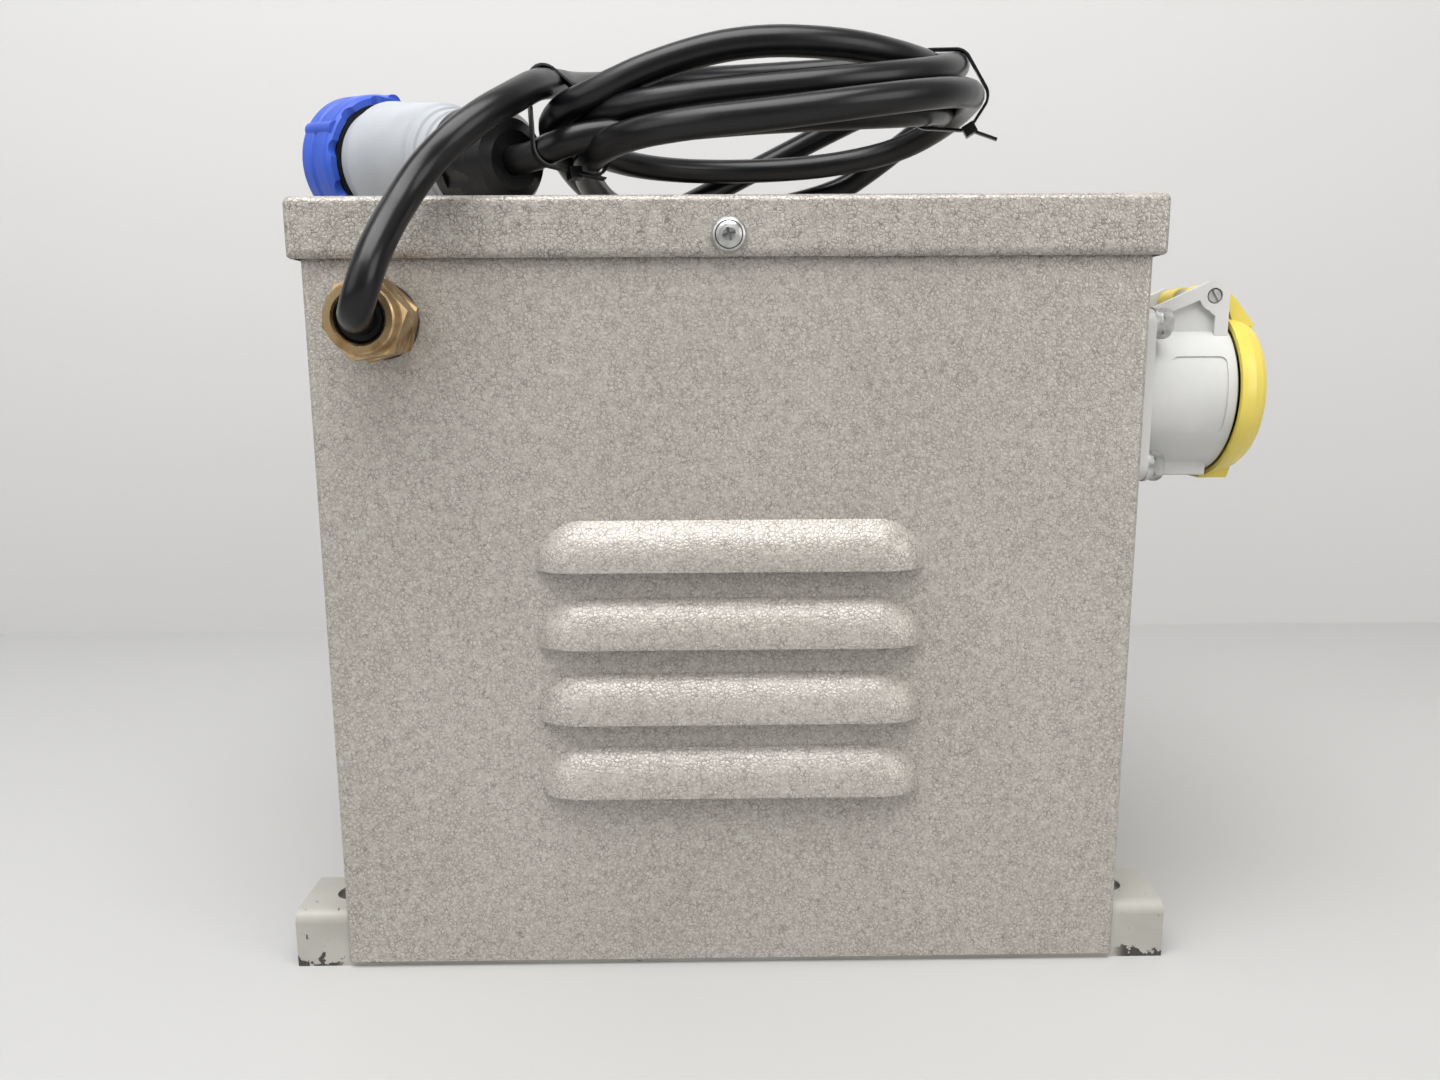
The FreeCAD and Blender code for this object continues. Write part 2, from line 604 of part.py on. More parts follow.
def plug_insides():
    """The pin carrier, its brass pins, the ring's rubber seal and the cord grip."""
    carrier = rod(Vector(0, 0, PLUG_BODY_END - 19), Z_AXIS, 19.4, 21)
    pins = []
    for x, y, radius in pin_places():
        carrier = carrier.cut(rod(Vector(x, y, PLUG_BODY_END - 25), Z_AXIS, radius + 0.05, 40))
        pin = rod(Vector(x, y, PLUG_BODY_END - 25), Z_AXIS, radius, 48)
        tip = Part.makeCone(radius, radius * 0.6, 1.6, Vector(x, y, PLUG_BODY_END + 23), Z_AXIS)
        pins.append(pin.fuse(tip))
    seal = washer(Vector(0, 0, PLUG_BODY_END + 0.3), Z_AXIS, 24.4, 22.1, 3.2)
    grip = soft_block(-8.0, 8.0, -6.5, 6.5, 47, 55, Z_AXIS, 2)
    grip = grip.cut(rod(Vector(0, 0, 46), Z_AXIS, CORD_DIAMETER / 2 + 0.1, 10))
    return carrier, pins, seal, grip


# ---- outlet -------------------------------------------------------------------------------

def outlet_point(reach, across, rise):
    """A point of the outlet: out from the wall, along the wall to the rear, and up."""
    return Vector(HALF_WIDTH + reach, OUTLET_Y + across, OUTLET_Z + rise)


def outlet_rod(reach, radius, length):
    return rod(outlet_point(reach, 0, 0), X_AXIS, radius, length)


def outlet_turned(profile):
    return turned(profile, outlet_point(0, 0, 0), X_AXIS)


def outlet_flange(reach, thickness, half_y, half_z, radius):
    centre = outlet_point(reach, 0, 0)
    plate = soft_block(centre.x, centre.x + thickness, centre.y - half_y, centre.y + half_y,
                       centre.z - half_z, centre.z + half_z, X_AXIS, radius)
    for place in outlet_bolt_places():
        plate = plate.cut(rod(Vector(centre.x - 1, place.y, place.z), X_AXIS, 3.2, thickness + 2))
    return plate


def outlet_plate(outline, across, thickness):
    """A flat plate upright along the outlet, from (reach, rise) corners."""
    corners = [outlet_point(reach, across, rise) for reach, rise in outline]
    corners.append(corners[0])
    return Part.Face(Part.makePolygon(corners)).extrude(Y_AXIS * thickness)


def outlet_ear(side):
    """A gusset from the flange to the hinge pin, hollowed on its outer side."""
    start = side * EAR_OUTER if side < 0 else EAR_OUTER - EAR_THICKNESS
    foot = OUTLET_GASKET + 1
    edge = HINGE_REACH + EAR_BOSS_RADIUS
    outline = [(foot, 20), (foot, 28.6), (HINGE_REACH - 2.4, HINGE_RISE + 5.15), (edge, HINGE_RISE),
               (edge, 20)]
    boss = outlet_point(HINGE_REACH, start, HINGE_RISE)
    ear = outlet_plate(outline, start, EAR_THICKNESS)
    ear = ear.fuse(rod(boss, Y_AXIS, EAR_BOSS_RADIUS, EAR_THICKNESS))
    hollow = [(9, 20), (9, 27.2), (16.5, 30.5), (28.6, 35.4), (32.7, 30.6), (34.4, 29.4), (34.4, 20)]
    outer = -EAR_OUTER - 1 if side < 0 else EAR_OUTER - EAR_POCKET
    pocket = outlet_plate(hollow, outer, EAR_POCKET + 1)
    pocket = pocket.cut(rod(outlet_point(HINGE_REACH, -40, HINGE_RISE), Y_AXIS, EAR_BOSS_RADIUS, 80))
    return ear.cut(pocket)


def outlet_housing():
    """Flange, barrel, lower rail and hinge ears in one moulding; a web carries the insert."""
    web = OUTLET_GASKET + OUTLET_FLANGE
    flange = outlet_flange(OUTLET_GASKET, OUTLET_FLANGE, 36, 31.8, 6)
    barrel = outlet_turned([(0, OUTLET_GASKET), (OUTLET_BARREL_RADIUS, OUTLET_GASKET),
                            (OUTLET_BARREL_RADIUS, OUTLET_BARREL_REACH - 0.6),
                            (OUTLET_BARREL_RADIUS - 0.6, OUTLET_BARREL_REACH), (0, OUTLET_BARREL_REACH)])
    rail = soft_block(HALF_WIDTH + 5, HALF_WIDTH + 37, OUTLET_Y - 16.5, OUTLET_Y + 16.5,
                      OUTLET_Z - 31.6, OUTLET_Z - 24, X_AXIS, 1.0)
    panel = soft_block(HALF_WIDTH + 16.3, HALF_WIDTH + 37.1, OUTLET_Y - 40, OUTLET_Y + 40,
                       OUTLET_Z - 14.8, OUTLET_Z + 14.3, Y_AXIS, 2.5)
    panel = panel.cut(outlet_rod(0, OUTLET_BARREL_RADIUS - 0.5, 60))
    body = flange.fuse(barrel).fuse(rail).cut(panel)
    for side in (-1, 1):
        body = body.fuse(outlet_ear(side))
    body = body.cut(outlet_rod(web, OUTLET_BORE_RADIUS, 60)).cut(outlet_rod(-1, 19.0, 60))
    hole = rod(outlet_point(HINGE_REACH, -40, HINGE_RISE), Y_AXIS, HINGE_PIN_RADIUS + 0.02, 80)
    sink = rod(outlet_point(HINGE_REACH, -EAR_OUTER - 1, HINGE_RISE), Y_AXIS, 2.95, 2.8)
    return body.cut(hole).cut(sink)


def outlet_lid():
    """The sprung cover: a tapered cap with a knuckle at the top and a hooked catch at the bottom."""
    face = OUTLET_LID_FACE_RADIUS
    cap = outlet_turned([(0, LID_BACK), (OUTLET_LID_RADIUS, LID_BACK), (OUTLET_LID_RADIUS, 43.5),
                         (32.2, 47), (30.6, 50.4), (face + 1.4, 52.5), (face, OUTLET_LID_REACH),
                         (0, OUTLET_LID_REACH)])
    room = outlet_turned([(0, LID_BACK - 1), (31.2, LID_BACK - 1), (31.2, 43.6), (27.0, 43.6),
                          (27.0, 49.6), (0, 49.6)])
    arm = outlet_plate([(HINGE_REACH, 41.7), (37.8, 41.3), (44, 36), (52.3, 25.6), (44, 25.6), (41.6, 31.9),
                        (36, 32.2), (HINGE_REACH, 33)], -KNUCKLE_HALF, 2 * KNUCKLE_HALF)
    knuckle = rod(outlet_point(HINGE_REACH, -KNUCKLE_HALF, HINGE_RISE), Y_AXIS, KNUCKLE_RADIUS,
                  2 * KNUCKLE_HALF)
    catch = outlet_plate([(41.6, -27), (51.6, -27), (49.5, -33.4), (38.5, -33.4), (38.5, -32), (41.6, -32)],
                         -9, 18)
    lid = cap.fuse(arm).fuse(knuckle).fuse(catch).cut(room)
    middle = rod(outlet_point(HINGE_REACH, -SPRING_HALF, HINGE_RISE), Y_AXIS, 6.4, 2 * SPRING_HALF)
    lid = lid.cut(middle)
    return lid.cut(rod(outlet_point(HINGE_REACH, -40, HINGE_RISE), Y_AXIS, HINGE_PIN_RADIUS + 0.06, 80))


def outlet_small_parts():
    """Hinge pin, spring, lid seal, insert and contacts."""
    start = outlet_point(HINGE_REACH, -EAR_OUTER + 0.3, HINGE_RISE)
    pin = rod(start, Y_AXIS, HINGE_PIN_RADIUS, 2 * EAR_OUTER - 0.6)
    pin = pin.fuse(rod(start, Y_AXIS, 2.4, 1.4))
    slot = block(start.x - 4, start.x + 4, start.y - 1, start.y + 0.9, start.z - 0.45, start.z + 0.45)
    slot.rotate(start, Y_AXIS, 60)
    pin = pin.cut(slot)
    coil = washer(outlet_point(HINGE_REACH, -SPRING_HALF + 0.3, HINGE_RISE), Y_AXIS, 4.2,
                  HINGE_PIN_RADIUS + 0.3, 2 * SPRING_HALF - 0.6)
    leg = rod(outlet_point(HINGE_REACH - 3.5, 0, HINGE_RISE - 4.4), X_AXIS * -1, 0.7, 14)
    riser = rod(outlet_point(HINGE_REACH - 3.5, 0, HINGE_RISE - 4.9), Z_AXIS, 0.7, 3.2)
    spring = coil.fuse(leg).fuse(riser)
    seal = outlet_turned([(23.5, 42.2), (26.9, 42.2), (26.9, 49.5), (23.5, 49.5)])
    insert = outlet_turned([(0, -22), (18.9, -22), (18.9, -3), (20.9, -3), (20.9, 1.4), (18.9, 1.4),
                            (18.9, OUTLET_INSERT_REACH), (0, OUTLET_INSERT_REACH)])
    contacts = []
    for x, y, radius in pin_places():
        base = outlet_point(-28, x, y)
        insert = insert.cut(rod(outlet_point(-30, x, y), X_AXIS, radius + 1.15, 56))
        insert = insert.cut(rod(outlet_point(20, x, y), X_AXIS, radius + 0.3, 20))
        tube_bore = rod(base + X_AXIS * 8, X_AXIS, radius + 0.05, 50)
        contacts.append(rod(base, X_AXIS, radius + 1.1, 53).cut(tube_bore))
    return pin, spring, seal, insert, contacts


def outlet_fasteners():
    """Bolts through the flange, each with a flat and a spring washer outside and a nut inside."""
    bolts = []
    flats = []
    springs = []
    nuts = []
    outside = OUTLET_GASKET + OUTLET_FLANGE
    for number, place in enumerate(outlet_bolt_places()):
        flats.append(washer(place + X_AXIS * outside, X_AXIS, 5.9, 3.2, 1.1))
        split = washer(place + X_AXIS * (outside + 1.1), X_AXIS, 5.4, 3.1, 1.6)
        cut = block(-0.5, 0.5, 2, 6, -1, 3)
        cut.Placement = Placement(place + X_AXIS * (outside + 1.1), Rotation(Z_AXIS, X_AXIS))
        springs.append(split.cut(cut))
        bolts.append(hex_bolt(place + X_AXIS * (outside + 2.7), X_AXIS, 6, 4.0, 10.0, 18, 11 * number))
        nuts.append(nut(place - X_AXIS * (SHEET + 5.1), X_AXIS, 6, 5.0, 10.0, 17 * number))
    return bolts, springs, flats, nuts


# ---- transformer and wiring inside --------------------------------------------------------

def core_block(x0, x1, y0, y1, z0, z1):
    """A block placed from the middle of the core."""
    return block(x0, x1, y0, y1, CORE_Z + z0, CORE_Z + z1)


def core_bolt_places():
    x = CORE_WIDTH / 2 - 9
    z = CORE_HEIGHT / 2 - 9
    return [Vector(sx * x, 0, CORE_Z + sz * z) for sx in (-1, 1) for sz in (-1, 1)]


def core_laminations():
    """The stack of E and I laminations, with two windows round the middle limb."""
    x = CORE_WIDTH / 2
    y = CORE_STACK / 2
    z = CORE_HEIGHT / 2
    core = core_block(-x, x, -y, y, -z, z)
    inner = CORE_LIMB / 2
    high = CORE_WINDOW_HEIGHT / 2
    for side in (-1, 1):
        near = side * inner
        far = side * (inner + CORE_WINDOW)
        core = core.cut(core_block(min(near, far), max(near, far), -y, y, -high, high))
    for place in core_bolt_places():
        core = core.cut(rod(place - Y_AXIS * 60, Y_AXIS, 3.3, 120))
    return core


def winding(inner, outer, half_height):
    """A rectangular coil round the middle limb, between two distances from the limb's faces."""
    x = CORE_LIMB / 2
    y = CORE_STACK / 2
    z0 = CORE_Z - half_height
    z1 = CORE_Z + half_height
    body = soft_block(-x - outer, x + outer, -y - outer, y + outer, z0, z1, Z_AXIS, outer)
    hole = soft_block(-x - inner, x + inner, -y - inner, y + inner, z0, z1, Z_AXIS, max(inner, 0.3))
    return body.cut(hole)


def coil_bobbin():
    body = winding(0.2, 1.7, 36)
    for side in (-1, 1):
        cheek = winding(0.2, 23.5, 0.8)
        cheek.translate(Vector(0, 0, side * 36.0))
        body = body.fuse(cheek)
    return body


def clamp_angle(side, level):
    """One of the four angle bars that squeeze the core; the lower pair are its feet."""
    face = side * (CORE_STACK / 2 + 0.1)
    x = CORE_WIDTH / 2
    z_out = level * (CORE_HEIGHT / 2 + 5.0)
    z_in = level * (CORE_HEIGHT / 2 - 18.0)
    upright = core_block(-x, x, min(face, face + side * 3), max(face, face + side * 3),
                         min(z_out, z_in), max(z_out, z_in))
    z_leg = z_out - level * 3
    leg = core_block(-x, x, min(face, face + side * CLAMP_LEG), max(face, face + side * CLAMP_LEG),
                     min(z_out, z_leg), max(z_out, z_leg))
    bar = upright.fuse(leg)
    for place in core_bolt_places():
        bar = bar.cut(rod(place - Y_AXIS * 80, Y_AXIS, 3.3, 160))
    for place in core_foot_places():
        bar = bar.cut(rod(Vector(place.x, place.y, CORE_Z - 80), Z_AXIS, 3.3, 160))
    return bar


def terminal_block():
    """A six-way connector strip on the tray."""
    base = TRAY_Z + TRAY_SHEET
    x, y = TERMINALS
    strip = soft_block(x - 11, x + 11, y - 36, y + 36, base, base + 20, Y_AXIS, 1.5)
    screws = []
    for i in range(6):
        middle = y - 30 + 12 * i
        strip = strip.cut(rod(Vector(x - 12, middle, base + 9), X_AXIS, 2.6, 24))
        for across in (-5.5, 5.5):
            strip = strip.cut(rod(Vector(x + across, middle, base + 9), Z_AXIS, 2.1, 20))
            screws.append(rod(Vector(x + across, middle, base + 11.8), Z_AXIS, 1.9, 6))
    return strip, screws


def wires():
    """The insulated cores that join cord, terminals, windings, earth and outlet."""
    x, y = TERMINALS
    base = TRAY_Z + TRAY_SHEET + 9
    inner = GLAND_FACE - OUT * 19.5
    routes = {}
    for name, side, level in (("supply_live_wire", -2.4, 0), ("supply_neutral_wire", 2.4, 1)):
        end = Vector(x - 12, y - 30 + 12 * level, base)
        start = inner + Vector(side, 0, 1.4)
        routes[name] = [start, start + Vector(-2, 14, -2), start + Vector(-6, 26, -22),
                        Vector(end.x - 9, end.y - 4, 200), Vector(end.x - 9.5, end.y + 3, 140),
                        Vector(end.x - 8, end.y - 1, 80), Vector(end.x - 7.5, end.y, base + 18),
                        Vector(end.x - 5, end.y + 0.4, base + 3), end]
    start = inner + Vector(0, 0, -2.8)
    routes["supply_earth_wire"] = [start, start + Vector(3, 14, -2), start + Vector(10, 22, -20),
                                   Vector(-92, -88, 190), Vector(-86, -92, 130),
                                   Vector(-60, -96, 80), Vector(-20, -94, 52), Vector(30, -97, 42),
                                   Vector(EARTH_STUD.x - 22, EARTH_STUD.y - 3, 38),
                                   Vector(EARTH_STUD.x - 6.5, EARTH_STUD.y, 34.5)]
    for name, level, rise in (("outlet_live_wire", 1, 0), ("outlet_neutral_wire", 2, -14)):
        px, py, radius = pin_places()[level]
        end = outlet_point(-28, px, py)
        start = Vector(CORE_LIMB / 2 + 10, -CORE_STACK / 2 - 13 - 4 * level, CORE_Z + 38.6)
        routes[name] = [start, start + Vector(5, -10, 20), Vector(78, -62 - 6 * level, 164 + rise),
                        Vector(98, end.y, end.z - 16), Vector(end.x - 13, end.y + 1, end.z - 1), end]
    return routes


def make_case():
    save("case_body", case_body())
    save("case_lid", case_lid())
    save("base_tray", base_tray())
    save("front_foot", foot_rail(-1))
    save("rear_foot", foot_rail(1))
    screws, cups, rivets = lid_fasteners()
    save("lid_screws", group(screws))
    save("lid_cup_washers", group(cups))
    save("lid_rivet_nuts", group(rivets))
    top = Vector(0, 0, TRAY_SHEET)
    below = Vector(0, 0, -FOOT_SHEET - 5.1)
    save("foot_bolts", group([hex_bolt(p + top, Z_AXIS, 6, 4, 10, 13.5) for p in foot_bolt_places()]))
    save("foot_nuts", group([nut(p + below, Z_AXIS, 6, 5, 10) for p in foot_bolt_places()]))


def make_gland():
    body, cap, seal, fibre, lock = gland_parts()
    save("gland_body", body)
    save("gland_cap", cap)
    save("gland_seal", seal)
    save("gland_washer", fibre)
    save("gland_locknut", lock)
    save("supply_cord_inner", rod(CORD_EXIT, OUT * -1, CORD_DIAMETER / 2, GLAND_PROJECTION + 19))


def make_cord():
    save("supply_cord_lead", tube("supply_cord_lead", LEAD_ROUTE, CORD_DIAMETER))
    save("supply_cord_hank", cord_hank())
    save("supply_cord_tail", tube("supply_cord_tail", TAIL_ROUTE, CORD_DIAMETER))
    save("cable_tie_left", cable_tie(Vector(-67, -89, 322), 13.5, 23.0, Vector(-66, -92, 300),
                                     Vector(0.6, -0.2, -0.2)))
    save("cable_tie_right", cable_tie(Vector(91, -46, 341), 15.5, 19.5, Vector(98, -50, 325),
                                      Vector(0.9, 0.1, -0.3)))


def make_plug():
    save("plug_gland_nut", on_plug(plug_gland_nut()))
    save("plug_body", on_plug(plug_body()))
    save("plug_shroud", on_plug(plug_shroud()))
    save("plug_lock_ring", on_plug(plug_lock_ring()))
    carrier, pins, seal, grip = plug_insides()
    save("plug_pin_carrier", on_plug(carrier))
    save("plug_pins", on_plug(group(pins)))
    save("plug_ring_seal", on_plug(seal))
    save("plug_cord_grip", on_plug(grip))


def make_outlet():
    gasket = outlet_flange(0, OUTLET_GASKET, 36, 31.8, 6).cut(outlet_rod(-1, 27.2, 10))
    save("outlet_gasket", gasket)
    save("outlet_housing", outlet_housing())
    save("outlet_lid", outlet_lid())
    pin, spring, seal, insert, contacts = outlet_small_parts()
    save("outlet_hinge_pin", pin)
    save("outlet_lid_spring", spring)
    save("outlet_lid_seal", seal)
    save("outlet_insert", insert)
    save("outlet_contacts", group(contacts))
    bolts, springs, flats, nuts = outlet_fasteners()
    save("outlet_bolts", group(bolts))
    save("outlet_spring_washers", group(springs))
    save("outlet_flat_washers", group(flats))
    save("outlet_nuts", group(nuts))


def make_transformer():
    save("core_laminations", core_laminations())
    save("coil_bobbin", coil_bobbin())
    save("primary_winding", winding(1.8, 10.5, 34.9))
    save("secondary_winding", winding(11.5, 21.0, 34.9))
    save("winding_insulation", group([winding(10.6, 11.4, 34.9), winding(21.1, 21.8, 34.9)]))
    save("core_clamps", group([clamp_angle(side, level) for side in (-1, 1) for level in (-1, 1)]))
    front = -CORE_STACK / 2 - 3.2
    save("core_bolts", group([hex_bolt(p + Y_AXIS * front, OUT, 6, 4, 10, 90) for p in core_bolt_places()]))
    back = CORE_STACK / 2 + 3.2
    nuts = [nut(p + Y_AXIS * back, Y_AXIS, 6, 5, 10) for p in core_bolt_places()]
    top = Vector(0, 0, TRAY_SHEET + 3.1)
    below = Vector(0, 0, -5.1)
    nuts += [nut(p + below, Z_AXIS, 6, 5, 10) for p in core_foot_places()]
    save("core_foot_bolts", group([hex_bolt(p + top, Z_AXIS, 6, 4, 10, 12) for p in core_foot_places()]))
    save("core_nuts", group(nuts))
    save("thermal_cutout", rod(Vector(0, -CORE_STACK / 2 - 22.0, CORE_Z), OUT, 8, 5))


def make_wiring():
    strip, screws = terminal_block()
    save("terminal_block", strip)
    save("terminal_screws", group(screws))
    stud = rod(EARTH_STUD - Z_AXIS * 8, Z_AXIS, 2.95, 26)
    save("earth_stud", stud)
    nuts = [nut(EARTH_STUD + Z_AXIS * z, Z_AXIS, 6, 5, 10) for z in (-5.1, TRAY_SHEET + 0.1)]
    save("earth_nuts", group(nuts))
    for name, route in wires().items():
        save(name, tube(name, route, 3.2))


make_case()
make_gland()
make_cord()
make_plug()
make_outlet()
make_transformer()
make_wiring()
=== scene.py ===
"""Looks of the portable power distribution box: camera, light, cord, small pieces and materials."""
import json
import math

import bmesh
import bpy
from mathutils import Matrix, Vector


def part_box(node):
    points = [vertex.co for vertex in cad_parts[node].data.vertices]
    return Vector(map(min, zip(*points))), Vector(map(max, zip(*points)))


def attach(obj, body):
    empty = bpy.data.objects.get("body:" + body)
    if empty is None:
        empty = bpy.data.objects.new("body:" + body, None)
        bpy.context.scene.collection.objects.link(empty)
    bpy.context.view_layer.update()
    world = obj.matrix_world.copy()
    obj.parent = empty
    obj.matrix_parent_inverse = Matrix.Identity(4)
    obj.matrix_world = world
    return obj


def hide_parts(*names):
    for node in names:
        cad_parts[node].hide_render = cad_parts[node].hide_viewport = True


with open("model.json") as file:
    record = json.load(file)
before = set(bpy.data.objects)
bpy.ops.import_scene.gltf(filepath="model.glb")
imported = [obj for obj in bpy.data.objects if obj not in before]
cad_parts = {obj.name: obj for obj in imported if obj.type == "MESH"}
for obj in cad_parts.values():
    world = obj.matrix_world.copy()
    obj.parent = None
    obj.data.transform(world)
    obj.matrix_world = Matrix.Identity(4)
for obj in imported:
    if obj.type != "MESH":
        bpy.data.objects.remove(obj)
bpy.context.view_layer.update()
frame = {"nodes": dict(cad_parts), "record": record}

ROOT = "box"
MM = 0.001


# ---- places -------------------------------------------------------------------------------

def middle_of(node):
    low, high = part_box(node)
    return (Vector(low) + Vector(high)) / 2


CASE_MIDDLE = middle_of("case_body")


def at(x, y, z):
    """A point given in millimetres from the middle of the case, with z above the floor."""
    return Vector((CASE_MIDDLE.x + x * MM, CASE_MIDDLE.y + y * MM, z * MM))


# ---- camera, stage and light --------------------------------------------------------------

CAMERA_PLACE = at(-7.8, -495.0, 232.4)
CAMERA_LENS = 26.0
SENSOR_WIDTH = 36.0
CAMERA_YAW = -0.011
CAMERA_DOWN = 0.168
CAMERA_ROLL = -0.006
STAGE_REACH = 2500
WALL_Y = 405


def make_camera():
    data = bpy.data.cameras.new("camera")
    data.lens = CAMERA_LENS
    data.sensor_width = SENSOR_WIDTH
    camera = bpy.data.objects.new("camera", data)
    bpy.context.collection.objects.link(camera)
    turn = Matrix.Rotation(CAMERA_YAW, 3, "Z") @ Matrix.Rotation(math.pi / 2 - CAMERA_DOWN, 3, "X")
    turn = turn @ Matrix.Rotation(CAMERA_ROLL, 3, "Z")
    camera.matrix_world = Matrix.Translation(CAMERA_PLACE) @ turn.to_4x4()
    bpy.context.scene.camera = camera


def make_plane(name, corners, material):
    mesh = bpy.data.meshes.new(name)
    mesh.from_pydata([tuple(c) for c in corners], [], [(0, 1, 2, 3)])
    plane = bpy.data.objects.new(name, mesh)
    bpy.context.collection.objects.link(plane)
    mesh.materials.append(material)


def see_through_back(material):
    """Leave the far side of a stage plane clear, so the object can be seen from behind it."""
    tree = material.node_tree
    side = tree.nodes.new("ShaderNodeNewGeometry").outputs["Backfacing"]
    clear = tree.nodes.new("ShaderNodeBsdfTransparent").outputs[0]
    mix = tree.nodes.new("ShaderNodeMixShader")
    tree.links.new(side, mix.inputs[0])
    tree.links.new(tree.nodes["Principled BSDF"].outputs[0], mix.inputs[1])
    tree.links.new(clear, mix.inputs[2])
    tree.links.new(mix.outputs[0], tree.nodes["Material Output"].inputs["Surface"])


def make_stage():
    floor_look = plain_stage("floor_paper", (0.455, 0.453, 0.447), 0.55)
    wall_look = plain_stage("wall_paper", (0.555, 0.551, 0.546), 0.8)
    see_through_back(wall_look)
    front = [at(-STAGE_REACH, -STAGE_REACH, 0), at(STAGE_REACH, -STAGE_REACH, 0)]
    foot = [at(-STAGE_REACH, WALL_Y, 0), at(STAGE_REACH, WALL_Y, 0)]
    top = [at(-STAGE_REACH, WALL_Y, STAGE_REACH), at(STAGE_REACH, WALL_Y, STAGE_REACH)]
    make_plane("floor", [front[0], front[1], foot[1], foot[0]], floor_look)
    make_plane("wall", [foot[0], foot[1], top[1], top[0]], wall_look)


def make_light(name, place, aim, size, power, colour=(1, 1, 1)):
    data = bpy.data.lights.new(name, "AREA")
    data.shape = "RECTANGLE"
    data.size, data.size_y = size
    data.energy = power
    data.color = colour
    light = bpy.data.objects.new(name, data)
    bpy.context.collection.objects.link(light)
    light.location = place
    light.rotation_mode = "QUATERNION"
    light.rotation_quaternion = (aim - place).to_track_quat("-Z", "Y")


def make_lights():
    world = bpy.data.worlds.new("studio")
    bpy.context.scene.world = world
    world.use_nodes = True
    nodes = world.node_tree.nodes
    links = world.node_tree.links
    way = nodes.new("ShaderNodeTexCoord")
    parts = nodes.new("ShaderNodeSeparateXYZ")
    ramp = nodes.new("ShaderNodeMapRange")
    links.new(way.outputs["Generated"], parts.inputs[0])
    links.new(parts.outputs["Z"], ramp.inputs["Value"])
    for name, value in (("From Min", -0.1), ("From Max", 0.9), ("To Min", 0.27), ("To Max", 0.50)):
        ramp.inputs[name].default_value = value
    background = nodes["Background"]
    background.inputs["Color"].default_value = (1.0, 0.997, 0.99, 1)
    links.new(ramp.outputs["Result"], background.inputs["Strength"])
    target = at(0, 0, 150)
    make_light("overhead", at(-150, -560, 1400), target, (1.4, 1.0), 27)
    make_light("window", at(-1300, -1100, 900), target, (1.4, 1.2), 8, (0.97, 0.985, 1.0))
    make_light("fill", at(1300, -1000, 700), target, (1.0, 1.0), 9, (1.0, 0.985, 0.96))


# ---- node trees ---------------------------------------------------------------------------

